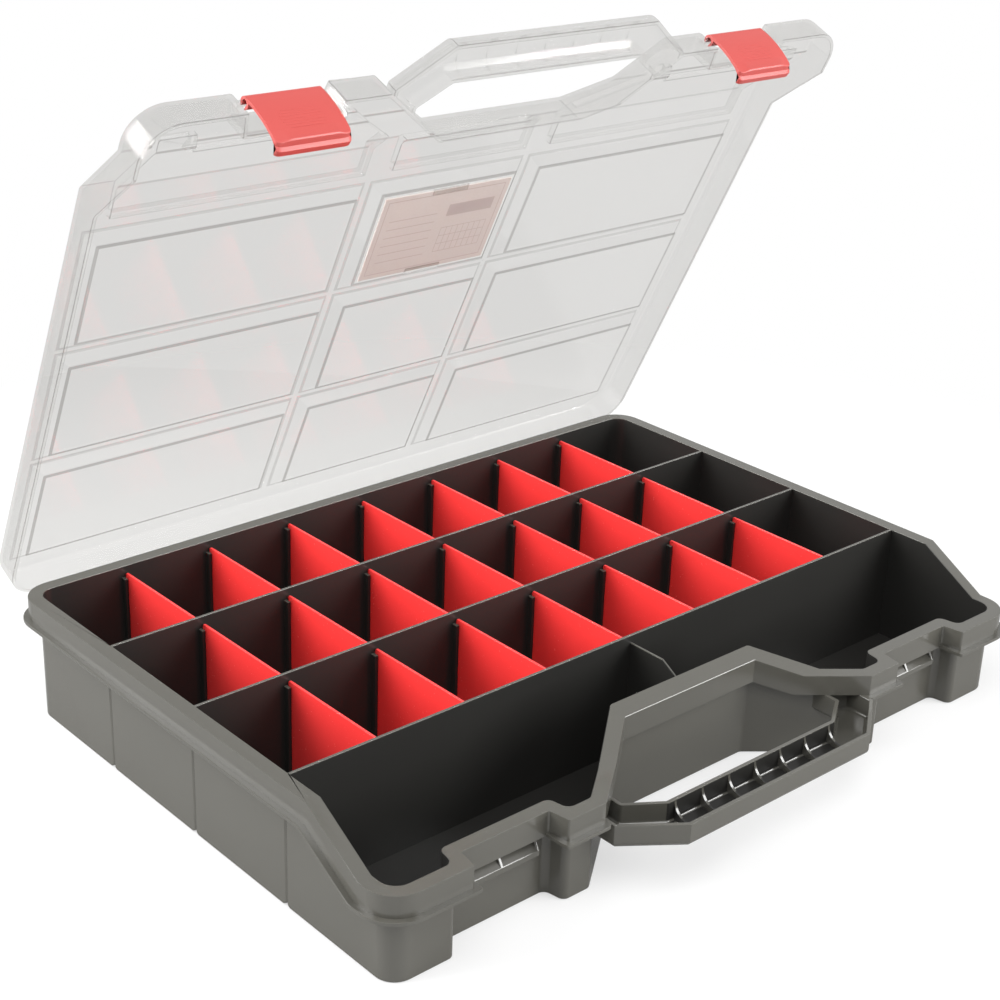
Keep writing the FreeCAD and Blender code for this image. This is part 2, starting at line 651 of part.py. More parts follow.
def lid_axles():
    return [bar(f"axle_{name}", "axle_radius", AXLE_LENGTH, x, AXLE_Y, AXLE_Z)
            for name, x in (("left", f"-{SEAT}"), ("right", SEAT))]


def card_middle():
    row = len(ROW_NAMES) - 1
    return f"({REAR} - {row}*{PITCH} - row_depth/2)"


CARD_HALF_X = "(centre_window_width/2 - card_margin)"
CARD_HALF_Y = f"({PITCH}/2 - window_web_margin - card_margin)"


def card_tabs():
    """Hooks under the middle window that hold the label card at its two long edges."""
    pieces = []
    lip_top = f"({CARD_TOP} - card_thickness - card_gap)"
    for edge, sign, lip_start in (("back", "+", "-tab_lip"), ("front", "-", "-card_gap - tab_post")):
        y = f"({card_middle()} {sign} {CARD_HALF_Y})"
        post_start = "card_gap" if sign == "+" else "-card_gap - tab_post"
        pieces.append(block(f"tab_lip_{edge}", "-tab_width/2", f"{y} + ({lip_start})", f"{lip_top} - tab_thickness",
                            "tab_width", "tab_lip + card_gap + tab_post", "tab_thickness"))
        pieces.append(block(f"tab_post_{edge}", "-tab_width/2", f"{y} + ({post_start})", f"{lip_top} - tab_thickness",
                            "tab_width", "tab_post",
                            "tab_thickness + card_thickness + 2*card_gap + lid_wall/2"))
    return pieces


def swing_open(obj, y="0", z="0", lean="0"):
    """Turn a piece of the closed lid about the hinge by the angle at which the lid stands."""
    angle = "(lid_open_angle)"
    turned_y = f"{HINGE_Y} + ({y} - {HINGE_Y})*cos{angle} + ({z} - {HINGE_Z})*sin{angle}"
    turned_z = f"{HINGE_Z} - ({y} - {HINGE_Y})*sin{angle} + ({z} - {HINGE_Z})*cos{angle}"
    obj.Placement = Placement(Vector(), Rotation(Vector(1, 0, 0), number(f"{lean} - lid_open_angle")))
    bind(obj, {"Placement.Rotation.Angle": f"{lean} - lid_open_angle"})
    return bind(obj, {"Placement.Base.y": turned_y, "Placement.Base.z": turned_z})


def rounded_top(name, base, radius):
    """Round every edge between an upright side and the upper face of a piece."""
    doc.recompute()
    result = doc.addObject("Part::Fillet", name)
    result.Base = base
    edges = []
    for index, edge in enumerate(base.Shape.Edges, start=1):
        tilts = [face.normalAt(0, 0).z for face in base.Shape.ancestorsOfType(edge, Part.Face)]
        if min(abs(t) for t in tilts) < 1e-6 and max(tilts) > 0.5:
            edges.append((index, number(radius), number(radius)))
    result.Edges = edges
    return result


def lid():
    block_out = common("lid_outside", raise_up("lid_block", lid_out_line, TALL),
                       band("lid_band", f"-{LID_OUT}", "rim_height - lid_seat_gap"))
    outer = rounded_top("lid_rounded", block_out, "lid_round")
    handle = handle_half("lid", f"({FRONT_FLANGE} + lid_seat_gap)", "lid_handle_height", -1, "lid_handle_round")
    inside = common("lid_inside", raise_up("lid_core", lid_in_line, TALL), below("lid_cover", f"-{LID_IN}"))
    shell = cut("lid_shell", fuse("lid_solid", outer, handle), inside)
    added, cleared = lid_windows()
    front_panes, front_sinks = lid_front_windows()
    sunk = fuse("lid_sunk", shell, front_panes, *added)
    open_windows = cut("lid_windows", sunk, fuse("lid_sinks", front_sinks, *cleared))
    return swing_open(fuse("lid", open_windows, *lid_knuckles(), *lid_axles(), *card_tabs()))


# Latch: a bowed plate with a barrel on the axle, a finger lip and a hook
def pocket(body, sketch, name, length):
    feature = body.newObject("PartDesign::Pocket", name)
    feature.Profile = sketch
    feature.Midplane = True
    return bind(feature, {"Length": length})


def round_sketch(body, name, radius):
    sketch = body_sketch(body, name, "YZ_Plane")
    sketch.addGeometry(Part.Circle(Vector(), Vector(0, 0, 1), number(radius)), False)
    sketch.addConstraint(Sketcher.Constraint("Coincident", 0, 3, -1, 1))
    index = sketch.addConstraint(Sketcher.Constraint("Radius", 0, number(radius)))
    sketch.setExpression(f"Constraints[{index}]", bound(radius))
    return sketch


def latch_path():
    """Side view of the plate: y points in, z points up, the axle at the origin."""
    centre_y = "(sqrt(latch_bow_radius^2 - latch_bow_centre^2) - barrel_radius)"
    centre_z = "(-latch_bow_centre)"

    def bow(radius, z):
        return f"({centre_y} - sqrt(({radius})^2 - ({z} - {centre_z})^2))"

    outer, inward = "latch_bow_radius", "latch_bow_radius - latch_plate"
    end = "(-latch_length)"
    lip = f"({end} + latch_lip_height)"
    flare = f"({lip} + latch_lip_run)"
    hook_top = f"({end} + hook_thickness)"
    return [
        ("-barrel_radius", "0"),
        (bow(outer, flare), flare, centre_y, centre_z, 1),
        ("-latch_lip", lip),
        ("-latch_lip + latch_plate/2", f"{lip} - latch_plate/2"),
        (bow(inward, hook_top), hook_top),
        ("-latch_plate/4", end),
        ("hook_reach", end),
        ("hook_reach", hook_top),
        (f"{bow(inward, lip)} + latch_plate/2", hook_top),
        (bow(inward, lip), lip),
        (bow(inward, "0"), "0", centre_y, centre_z, -1),
    ]


def latch(name, x):
    body = doc.addObject("PartDesign::Body", name)
    plate = draw(body_sketch(body, f"{name}_side", "YZ_Plane"), latch_path())
    pad(body, plate, f"{name}_plate", LATCH_WIDTH)
    pad(body, round_sketch(body, f"{name}_round", "barrel_radius"), f"{name}_barrel", LATCH_WIDTH)
    bore = round_sketch(body, f"{name}_bore_round", "axle_radius + axle_clearance")
    pocket(body, bore, f"{name}_bore", f"2*{LATCH_WIDTH}")
    mouth = [("0", "-barrel_mouth/2"), ("2*barrel_radius", "-barrel_mouth/2"),
             ("2*barrel_radius", "barrel_mouth/2"), ("0", "barrel_mouth/2")]
    slot = draw(body_sketch(body, f"{name}_mouth_side", "YZ_Plane"), mouth)
    pocket(body, slot, f"{name}_mouth", f"2*{LATCH_WIDTH}")
    swing_open(body, AXLE_Y, AXLE_Z, "latch_lean_angle")
    return bind(body, {"Placement.Base.x": x})


# Divider: a thin plate with cut corners that stands between two pairs of ribs
def divider(name, x, y):
    body = doc.addObject("PartDesign::Body", name)
    half = "(row_depth/2 - divider_end_gap)"
    path = [
        (f"-{half}", "0"), (half, "0"), (half, "divider_height - divider_corner"),
        (f"{half} - divider_corner", "divider_height"), (f"-{half} + divider_corner", "divider_height"),
        (f"-{half}", "divider_height - divider_corner"),
    ]
    pad(body, draw(body_sketch(body, f"{name}_side", "YZ_Plane"), path), f"{name}_plate", "divider_thickness")
    return place(body, x, y, "floor_thickness")


# Label card: a plain card behind the middle window of the front row
def label_card():
    body = doc.addObject("PartDesign::Body", "label_card")
    middle = card_middle()
    path = [
        (f"-{CARD_HALF_X}", f"-{CARD_HALF_Y}"), (CARD_HALF_X, f"-{CARD_HALF_Y}"),
        (CARD_HALF_X, CARD_HALF_Y), (f"-{CARD_HALF_X}", CARD_HALF_Y),
    ]
    pad(body, draw(body_sketch(body, "card_plan", "XY_Plane"), path), "card_sheet", "card_thickness")
    return swing_open(body, middle, f"({CARD_TOP} - card_thickness/2)")


def build_nodes():
    nodes = [tray(), lid(), latch("latch_left", f"-{SEAT}"), latch("latch_right", SEAT), label_card()]
    for row, row_name in enumerate(ROW_NAMES):
        y = f"({REAR} - {row}*{PITCH} - row_depth/2)"
        for i in range(1, CELLS_ACROSS):
            nodes.append(divider(f"divider_{row_name}_{i}", divider_place(i), y))
    return nodes


nodes = build_nodes()
doc.recompute()
for obj in doc.Objects:
    if "Invalid" in obj.State or "Error" in obj.State:
        raise RuntimeError(f"{obj.Label} failed: {obj.State}")
for node in nodes:
    shape = node.Shape
    if shape.isNull() or not shape.isValid() or len(shape.Solids) != 1:
        raise RuntimeError(f"{node.Label} is not one valid solid")

os.makedirs("parts", exist_ok=True)
for node in nodes:
    node.Shape.exportStep(f"parts/{node.Label}.step")
    box = node.Shape.BoundBox
    lengths = f"{box.XLength:.1f} x {box.YLength:.1f} x {box.ZLength:.1f}"
    print(f"{node.Label}: {node.Shape.Volume / 1000:.1f} cm3, {lengths}")
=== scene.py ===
# %% [markdown]
# # A compartment storage box
#
# The case has a dark moulded tray, a clear lid that stands open, two red latches, a label card
# and twenty-one red dividers. Its shapes come ready from the CAD model, so this lesson is about
# what Blender adds to them: soft edges, small moulded details, finishes, light and the camera.

# %% Load the frame
import json
import math

import bmesh
import bpy
from mathutils import Matrix, Quaternion, Vector


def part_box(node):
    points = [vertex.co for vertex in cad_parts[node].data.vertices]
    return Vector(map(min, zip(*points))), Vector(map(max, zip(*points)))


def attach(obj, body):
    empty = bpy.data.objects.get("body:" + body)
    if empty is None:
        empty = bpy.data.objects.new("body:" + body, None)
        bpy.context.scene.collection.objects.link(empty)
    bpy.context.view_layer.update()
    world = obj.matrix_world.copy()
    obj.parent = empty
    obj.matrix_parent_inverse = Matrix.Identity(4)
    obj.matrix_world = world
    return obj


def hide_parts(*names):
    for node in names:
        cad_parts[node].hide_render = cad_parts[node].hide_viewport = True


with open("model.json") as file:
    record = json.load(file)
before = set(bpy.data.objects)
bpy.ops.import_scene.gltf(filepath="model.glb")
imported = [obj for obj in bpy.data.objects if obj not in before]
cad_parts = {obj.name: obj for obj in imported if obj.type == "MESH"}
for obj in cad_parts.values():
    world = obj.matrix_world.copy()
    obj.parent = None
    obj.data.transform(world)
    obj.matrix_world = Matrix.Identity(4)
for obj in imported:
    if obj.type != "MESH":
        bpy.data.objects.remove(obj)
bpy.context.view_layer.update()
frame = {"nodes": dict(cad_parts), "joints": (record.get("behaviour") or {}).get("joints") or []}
bpy.ops.object.select_all(action="DESELECT")

# %% [markdown]
# ## The camera
#
# The photograph was taken from the front left, a little above the case. A camera could be placed
# by eye, but here the vanishing lines of the tray give its place, its lens and a small roll. We
# aim it with a track quaternion and then turn it about its own axis by the roll.

# %% Camera at the photograph's place
CAMERA_PLACE = Vector((-0.6343, -0.6701, 0.5238))
CAMERA_AZIMUTH = math.radians(42.241)
CAMERA_ELEVATION = math.radians(23.665)
CAMERA_ROLL = math.radians(2.130)
IMAGE_SIZE = 1000

bpy.ops.object.camera_add(location=CAMERA_PLACE)
camera = bpy.context.object
camera.name = "photo_camera"
camera.data.sensor_width = 36.0
camera.data.lens = 67.63
camera.data.clip_start = 0.05
view_direction = Vector((math.cos(CAMERA_ELEVATION) * math.sin(CAMERA_AZIMUTH),
                         math.cos(CAMERA_ELEVATION) * math.cos(CAMERA_AZIMUTH),
                         -math.sin(CAMERA_ELEVATION)))
aim = view_direction.to_track_quat("-Z", "Y")
camera.rotation_mode = "QUATERNION"
camera.rotation_quaternion = aim @ Quaternion((0.0, 0.0, 1.0), CAMERA_ROLL)
bpy.context.scene.camera = camera
bpy.context.view_layer.update()


def pixel_of(point):
    """Where a point of the frame falls in the square image, in pixels from its top left."""
    local = camera.matrix_world.inverted() @ Vector(point)
    scale = camera.data.lens / camera.data.sensor_width * IMAGE_SIZE / -local.z
    return round(IMAGE_SIZE / 2 + local.x * scale, 1), round(IMAGE_SIZE / 2 - local.y * scale, 1)


print("tray corner in the image:", pixel_of((-0.219, -0.1538, 0.0)))

# %% [markdown]
# ## Floor and light
#
# Product pictures of this kind are taken on a white sweep under large soft lamps. A plain white
# plane would either turn grey far from the lamps or lose the shadow of the case, so the floor mixes
# two shaders: a pale one that takes the shadow, and plain white that takes over away
# from the case. In reflections it is darker, or the glossy walls would mirror a bright sheet.
# The world gives an even light from all round, and three area lamps give the faces of the case
# different brightness.

# %% Helpers for nodes
def math_node(tree, operation, first, second):
    """A math node whose two inputs are each a number or another node's output."""
    node = tree.nodes.new("ShaderNodeMath")
    node.operation = operation
    for socket, value in zip(node.inputs, (first, second)):
        if isinstance(value, float):
            socket.default_value = value
        else:
            tree.links.new(value, socket)
    return node.outputs[0]


def mix_shaders(tree, share, first, second):
    """A mix of two shaders that takes the given share of the second."""
    node = tree.nodes.new("ShaderNodeMixShader")
    tree.links.new(share, node.inputs["Fac"])
    tree.links.new(first, node.inputs[1])
    tree.links.new(second, node.inputs[2])
    return node.outputs[0]


# %% White floor
FLOOR_SIZE = 12.0
FLOOR_DROP = 0.0005
SHADOW_END = 0.62
SHADOW_START = 0.30
WHITE_BELOW = 0.55
MIRRORED_SHARE = 0.65

bpy.ops.mesh.primitive_plane_add(size=FLOOR_SIZE, location=(0.0, 0.0, -FLOOR_DROP))
floor = bpy.context.object
floor.name = "floor"
floor_material = bpy.data.materials.new("white_sweep")
floor_material.use_nodes = True
tree = floor_material.node_tree
pale = tree.nodes["Principled BSDF"]
pale.inputs["Base Color"].default_value = (0.72, 0.72, 0.72, 1.0)
pale.inputs["Roughness"].default_value = 0.9
pale.inputs["Specular IOR Level"].default_value = 0.1
white = tree.nodes.new("ShaderNodeEmission")
dark = tree.nodes.new("ShaderNodeBsdfDiffuse")
dark.inputs["Color"].default_value = (0.12, 0.12, 0.12, 1.0)
place = tree.nodes.new("ShaderNodeTexCoord")
away = tree.nodes.new("ShaderNodeVectorMath")
away.operation = "LENGTH"
far_white = tree.nodes.new("ShaderNodeMapRange")
far_white.inputs["From Min"].default_value = SHADOW_START
far_white.inputs["From Max"].default_value = SHADOW_END
far_white.inputs["To Min"].default_value = WHITE_BELOW
tree.links.new(place.outputs["Object"], away.inputs[0])
tree.links.new(away.outputs["Value"], far_white.inputs["Value"])
ray = tree.nodes.new("ShaderNodeLightPath")
seen = math_node(tree, "MAXIMUM", ray.outputs["Is Camera Ray"], ray.outputs["Is Transmission Ray"])
white_share = math_node(tree, "MULTIPLY", seen, far_white.outputs["Result"])
mirrored = math_node(tree, "MULTIPLY", ray.outputs["Is Glossy Ray"], MIRRORED_SHARE)
sweep = mix_shaders(tree, white_share, pale.outputs[0], white.outputs[0])
sweep = mix_shaders(tree, mirrored, sweep, dark.outputs[0])
tree.links.new(sweep, tree.nodes["Material Output"].inputs["Surface"])
floor.data.materials.append(floor_material)
print("floor:", floor_material.name)

# %% World
# The camera sees pure white, mirrors and the lid see a little less, and the light itself is dimmer
ROOM_LIGHT = 0.42
MIRRORED_WHITE = 0.8

world = bpy.data.worlds.new("soft_studio")
bpy.context.scene.world = world
world.use_nodes = True
tree = world.node_tree
room_light = tree.nodes["Background"]
room_light.inputs["Color"].default_value = (1.0, 1.0, 1.0, 1.0)
room_light.inputs["Strength"].default_value = ROOM_LIGHT
white_room = tree.nodes.new("ShaderNodeBackground")
white_room.inputs["Color"].default_value = (1.0, 1.0, 1.0, 1.0)
ray = tree.nodes.new("ShaderNodeLightPath")
whiteness = math_node(tree, "MAXIMUM", ray.outputs["Is Camera Ray"], MIRRORED_WHITE)
tree.links.new(whiteness, white_room.inputs["Strength"])
seen = math_node(tree, "MAXIMUM", ray.outputs["Is Camera Ray"], ray.outputs["Is Glossy Ray"])
seen = math_node(tree, "MAXIMUM", seen, ray.outputs["Is Transmission Ray"])
room = mix_shaders(tree, seen, room_light.outputs[0], white_room.outputs[0])
tree.links.new(room, tree.nodes["World Output"].inputs["Surface"])
print("world:", world.name)


# %% Lamps
def soft_lamp(name, place, target, size, watts):
    """A square softbox that faces a point."""
    bpy.ops.object.light_add(type="AREA", location=place)
    lamp = bpy.context.object
    lamp.name = name
    lamp.data.size = size
    lamp.data.energy = watts
    lamp.rotation_mode = "QUATERNION"
    lamp.rotation_quaternion = (Vector(target) - Vector(place)).to_track_quat("-Z", "Y")
    return lamp


lamps = [
    soft_lamp("top_softbox", (-0.7, -0.8, 2.0), (0.0, 0.0, 0.0), 2.0, 40.0),
    soft_lamp("left_softbox", (-1.55, 1.05, 0.95), (0.0, 0.0, 0.05), 1.6, 74.0),
    soft_lamp("right_softbox", (1.3, -1.7, 0.8), (0.0, 0.0, 0.1), 1.5, 70.0),
]
bpy.context.scene.view_settings.view_transform = "Standard"
print("lamps:", [lamp.name for lamp in lamps])

# %% [markdown]
# ## Shared surface effects
#
# Every moulded plastic here has the same two traits: a very fine grain from the mould, and a
# faint unevenness of gloss where the melt flowed and hands have rubbed. Each trait is a node
# group, made once, and every material places it with its own values.

# %% Node group: mould grain
def new_group(name, inputs, outputs):
    """An empty shader node group with float inputs {name: start value} and outputs {name: kind}."""
    group = bpy.data.node_groups.new(name, "ShaderNodeTree")
    for label, start in inputs.items():
        socket = group.interface.new_socket(name=label, in_out="INPUT", socket_type="NodeSocketFloat")
        socket.default_value = start
    for label, kind in outputs.items():
        group.interface.new_socket(name=label, in_out="OUTPUT", socket_type=kind)
    return group, group.nodes.new("NodeGroupInput"), group.nodes.new("NodeGroupOutput")


grain_group, entry, leave = new_group(
    "mould_grain", {"Grain Scale": 2400.0, "Flow Scale": 14.0},
    {"Grain": "NodeSocketFloat", "Flow": "NodeSocketFloat"})
place = grain_group.nodes.new("ShaderNodeTexCoord")
grain = grain_group.nodes.new("ShaderNodeTexNoise")
grain.inputs["Detail"].default_value = 2.0
flow = grain_group.nodes.new("ShaderNodeTexNoise")
flow.inputs["Detail"].default_value = 4.0
flow.inputs["Distortion"].default_value = 0.6
grain_group.links.new(place.outputs["Object"], grain.inputs["Vector"])
grain_group.links.new(place.outputs["Object"], flow.inputs["Vector"])
grain_group.links.new(entry.outputs["Grain Scale"], grain.inputs["Scale"])
grain_group.links.new(entry.outputs["Flow Scale"], flow.inputs["Scale"])
grain_group.links.new(grain.outputs["Fac"], leave.inputs["Grain"])
grain_group.links.new(flow.outputs["Fac"], leave.inputs["Flow"])
print("group:", grain_group.name)

# %% Node group: rubbed marks
marks_group, entry, leave = new_group(
    "rubbed_marks", {"Mark Scale": 60.0, "Sharpness": 0.62}, {"Marks": "NodeSocketFloat"})
place = marks_group.nodes.new("ShaderNodeTexCoord")
layers = []
for turn, stretch in ((0.5, 9.0), (-0.9, 14.0)):
    slant = marks_group.nodes.new("ShaderNodeMapping")
    slant.inputs["Rotation"].default_value = (turn, turn * 0.7, turn)
    slant.inputs["Scale"].default_value = (1.0, stretch, stretch)
    streaks = marks_group.nodes.new("ShaderNodeTexNoise")
    streaks.inputs["Detail"].default_value = 3.0
    cut_off = marks_group.nodes.new("ShaderNodeMapRange")
    cut_off.inputs["From Max"].default_value = 0.80
    marks_group.links.new(place.outputs["Object"], slant.inputs["Vector"])
    marks_group.links.new(slant.outputs["Vector"], streaks.inputs["Vector"])
    marks_group.links.new(entry.outputs["Mark Scale"], streaks.inputs["Scale"])
    marks_group.links.new(streaks.outputs["Fac"], cut_off.inputs["Value"])
    marks_group.links.new(entry.outputs["Sharpness"], cut_off.inputs["From Min"])
    layers.append(cut_off)
both = marks_group.nodes.new("ShaderNodeMath")
both.operation = "MAXIMUM"
marks_group.links.new(layers[0].outputs["Result"], both.inputs[0])
marks_group.links.new(layers[1].outputs["Result"], both.inputs[1])
marks_group.links.new(both.outputs[0], leave.inputs["Marks"])
print("group:", marks_group.name)

# %% [markdown]
# ## Plastic finishes
#
# One recipe serves all the coloured plastics: the flow unevenness shifts the colour a little,
# rubbed marks make the gloss duller in streaks, and the grain is a very low bump. The tray gets two
# finishes: a paler one outside, and inside a nearly black copy of the same plastic that is painted shade
# of the deep cells.

# %% Recipe for a moulded plastic
def group_node(tree, group, **values):
    node = tree.nodes.new("ShaderNodeGroup")
    node.node_tree = group
    for label, value in values.items():
        node.inputs[label.replace("_", " ")].default_value = value
    return node


def moulded_plastic(name, dark, light, gloss, shine=0.85, grain_height=0.00001):
    """A plastic whose colour runs from dark to light, with a range of roughness, a shine and a grain."""
    material = bpy.data.materials.new(name)
    material.use_nodes = True
    tree = material.node_tree
    shader = tree.nodes["Principled BSDF"]
    surface = group_node(tree, grain_group)
    rubbed = group_node(tree, marks_group)
    tint = tree.nodes.new("ShaderNodeMix")
    tint.data_type = "RGBA"
    tint.inputs["A"].default_value = (*dark, 1.0)
    tint.inputs["B"].default_value = (*light, 1.0)
    tree.links.new(surface.outputs["Flow"], tint.inputs["Factor"])
    tree.links.new(tint.outputs["Result"], shader.inputs["Base Color"])
    dulling = tree.nodes.new("ShaderNodeMapRange")
    dulling.inputs["To Min"].default_value = gloss[0]
    dulling.inputs["To Max"].default_value = gloss[1]
    tree.links.new(rubbed.outputs["Marks"], dulling.inputs["Value"])
    tree.links.new(dulling.outputs["Result"], shader.inputs["Roughness"])
    shader.inputs["Specular IOR Level"].default_value = shine
    bump = tree.nodes.new("ShaderNodeBump")
    bump.inputs["Distance"].default_value = grain_height
    tree.links.new(surface.outputs["Grain"], bump.inputs["Height"])
    tree.links.new(bump.outputs["Normal"], shader.inputs["Normal"])
    return material


tray_outside = moulded_plastic(
    "tray_outside", (0.064, 0.0615, 0.0525), (0.074, 0.0715, 0.0615), gloss=(0.17, 0.23))
# The inside is the same plastic as the outside; its near-black colour is painted shade of the deep cells
tray_inside_painted_shade = moulded_plastic(
    "tray_inside_painted_shade", (0.017, 0.0165, 0.0155), (0.021, 0.0205, 0.019), gloss=(0.28, 0.30), shine=0.33)
latch_red = moulded_plastic(
    "latch_red", (0.380, 0.0455, 0.040), (0.416, 0.0546, 0.046), gloss=(0.40, 0.46), shine=0.60)
divider_red = moulded_plastic(
    "divider_red", (0.77, 0.036, 0.035), (0.83, 0.044, 0.042), gloss=(0.24, 0.30))
print("plastics:", [m.name for m in (tray_outside, tray_inside_painted_shade, latch_red, divider_red)])

# %% [markdown]
# ## The clear lid's finish
#
# Clear polystyrene bends light like glass, and a full glass shader gives the lines that run along its
# ribs. In a wall of two millimetres most of the light goes nearly straight on, though, so the glass is
# mixed with a transparent shader. The first wall that a ray meets takes most of the tint, so that
# double walls don't turn smoky. Shadow rays, and light that has already passed several walls, only
# see the transparent part, which saves the noise of caustics. The rounded edges get a deeper tint of
# their own, which is painted shade for the dark lines that bent light draws along them.

# %% Recipe for clear plastic
CLEAR_TINT = (0.93, 0.927, 0.92, 1.0)
CLEAR_IOR = 1.49
MOST_WALLS = 3.5


def clear_plastic(name, first_wall, later_wall, straight_share):
    """Clear plastic with the tint of the first and later walls and the share of light that isn't bent."""
    material = bpy.data.materials.new(name)
    material.use_nodes = True
    tree = material.node_tree
    shader = tree.nodes["Principled BSDF"]
    shader.inputs["Base Color"].default_value = CLEAR_TINT
    shader.inputs["Transmission Weight"].default_value = 1.0
    shader.inputs["IOR"].default_value = CLEAR_IOR
    rubbed = group_node(tree, marks_group, Mark_Scale=90.0)
    haze = tree.nodes.new("ShaderNodeMapRange")
    haze.inputs["To Min"].default_value = 0.02
    haze.inputs["To Max"].default_value = 0.10
    tree.links.new(rubbed.outputs["Marks"], haze.inputs["Value"])
    tree.links.new(haze.outputs["Result"], shader.inputs["Roughness"])
    surface = group_node(tree, grain_group, Flow_Scale=9.0)
    waves = tree.nodes.new("ShaderNodeBump")
    waves.inputs["Distance"].default_value = 0.00004
    tree.links.new(surface.outputs["Flow"], waves.inputs["Height"])
    tree.links.new(waves.outputs["Normal"], shader.inputs["Normal"])
    ray = tree.nodes.new("ShaderNodeLightPath")
    walls_met = math_node(tree, "ADD", ray.outputs["Transparent Depth"], ray.outputs["Transmission Depth"])
    tint = tree.nodes.new("ShaderNodeMix")
    tint.data_type = "RGBA"
    tint.inputs["A"].default_value = (*first_wall, 1.0)
    tint.inputs["B"].default_value = (*later_wall, 1.0)
    later = math_node(tree, "GREATER_THAN", walls_met, 0.5)
    tree.links.new(math_node(tree, "MAXIMUM", later, ray.outputs["Is Shadow Ray"]), tint.inputs["Factor"])
    through = tree.nodes.new("ShaderNodeBsdfTransparent")
    tree.links.new(tint.outputs["Result"], through.inputs["Color"])
    deep = math_node(tree, "GREATER_THAN", ray.outputs["Transmission Depth"], MOST_WALLS)
    straight = math_node(tree, "MAXIMUM", deep, straight_share)
    straight = math_node(tree, "MAXIMUM", straight, ray.outputs["Is Shadow Ray"])
    clear = mix_shaders(tree, straight, shader.outputs[0], through.outputs[0])
    tree.links.new(clear, tree.nodes["Material Output"].inputs["Surface"])
    return material


lid_clear = clear_plastic("lid_clear", (0.755, 0.750, 0.739), (0.998, 0.997, 0.995), 0.92)
# The edge tint is painted shade for the dark lines that bent light draws along the rounded edges
lid_edge_painted_shade = clear_plastic("lid_edge_painted_shade", (0.50, 0.49, 0.475), (0.88, 0.876, 0.868), 0.84)
print("clear plastics:", lid_clear.name, lid_edge_painted_shade.name)

# %% [markdown]
# ## Copies with soft edges
#
# Moulded parts have no knife-sharp edges: each one is rounded a little and catches a thin line of
# light. We copy a CAD node, weld its loose triangles and let a limited dissolve bring back the flat
# faces. A bevel on every sharp edge would cross itself in the tight inner corners, so only the
# outward edges get a bevel weight, and the small crescent ribs in the handle are left out.
# Weighted normals then keep the large faces flat beside their small rounded edges.

# %% Helpers for copies
def select_only(piece):
    bpy.ops.object.select_all(action="DESELECT")
    piece.select_set(True)
    bpy.context.view_layer.objects.active = piece


def welded_copy(node, name):
    """A copy of a CAD node's mesh with its triangles welded and its flat faces whole again."""
    piece = bpy.data.objects.new(name, frame["nodes"][node].data.copy())
    bpy.context.scene.collection.objects.link(piece)
    piece.data.materials.clear()
    select_only(piece)
    bpy.ops.mesh.customdata_custom_splitnormals_clear()
    bpy.ops.object.mode_set(mode="EDIT")
    bpy.ops.mesh.select_all(action="SELECT")
    bpy.ops.mesh.remove_doubles(threshold=0.00001)
    bpy.ops.mesh.dissolve_limited(angle_limit=math.radians(0.4))
    bpy.ops.object.mode_set(mode="OBJECT")
    return piece


def slice_at(piece, point, normal):
    """Cut a line of new edges where a plane crosses the piece."""
    select_only(piece)
    bpy.ops.object.mode_set(mode="EDIT")
    bpy.ops.mesh.select_all(action="SELECT")
    bpy.ops.mesh.bisect(plane_co=point, plane_no=normal)
    bpy.ops.object.mode_set(mode="OBJECT")


# %% Helpers for soft edges
STEEP = math.radians(35.0)
SLIM = 0.0013
CRESCENT_CORNERS = 30
CRESCENT_AREA = 0.0003


def is_crescent(face):
    """Is a face the side of one of the thin curved ribs in the handle?"""
    return len(face.verts) > CRESCENT_CORNERS and face.calc_area() < CRESCENT_AREA


def is_slim(face):
    """Is a face too narrow for a full bevel?"""
    return 2.0 * face.calc_area() / face.calc_perimeter() < SLIM


def mark_outward_edges(piece, sharper_than, steep_share):
    """Give a bevel weight to the sharp edges that point outwards, and less to steep ones if asked."""
    work = bmesh.new()
    work.from_mesh(piece.data)
    weight = work.edges.layers.float.new("bevel_weight_edge")
    marked = 0
    for edge in work.edges:
        turn = edge.calc_face_angle_signed(0.0)
        if turn < math.radians(sharper_than) or any(is_crescent(face) for face in edge.link_faces):
            continue
        edge[weight] = steep_share if turn > STEEP else 1.0
        if steep_share < 1.0 and any(is_slim(face) for face in edge.link_faces):
            edge[weight] = steep_share / 2.0
        marked += 1
    work.to_mesh(piece.data)
    work.free()
    return marked


def soften_edges(piece, width, sharper_than=38.0, smooth_below=32.0, edge_finish=-1, steep_share=1.0):
    """Round the outward edges of a piece, with a finish of their own if asked, and shade curves smooth."""
    marked = mark_outward_edges(piece, sharper_than, steep_share)
    select_only(piece)
    bpy.ops.object.modifier_add(type="BEVEL")
    bevel = piece.modifiers[-1]
    bevel.width = width
    bevel.segments = 2
    bevel.limit_method = "WEIGHT"
    bevel.use_clamp_overlap = False
    bevel.material = edge_finish
    bpy.ops.object.modifier_apply(modifier=bevel.name)
    bpy.ops.object.shade_smooth_by_angle(angle=math.radians(smooth_below))
    bpy.ops.object.modifier_add(type="WEIGHTED_NORMAL")
    even = piece.modifiers[-1]
    even.keep_sharp = True
    bpy.ops.object.modifier_apply(modifier=even.name)
    print(piece.name, "rounded edges:", marked)
    return piece


# %% Helper that puts a piece in its place
def stand_in(piece, node, body, slot, *materials):
    """Put a finished piece in the place of its CAD node."""
    for material in materials:
        piece.data.materials.append(material)
    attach(piece, body)
    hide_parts(node)
    print(piece.name, "faces:", len(piece.data.polygons))
    return piece


# %% [markdown]
# ## The tray
#
# The long walls end flush with the rim, which makes one very ragged flat face, so two slices part
# them before the edges are rounded. Then every face is asked whether it lies inside the plan
# of the cells, and if it does it gets the nearly black finish, which is painted shade of the deep cells.

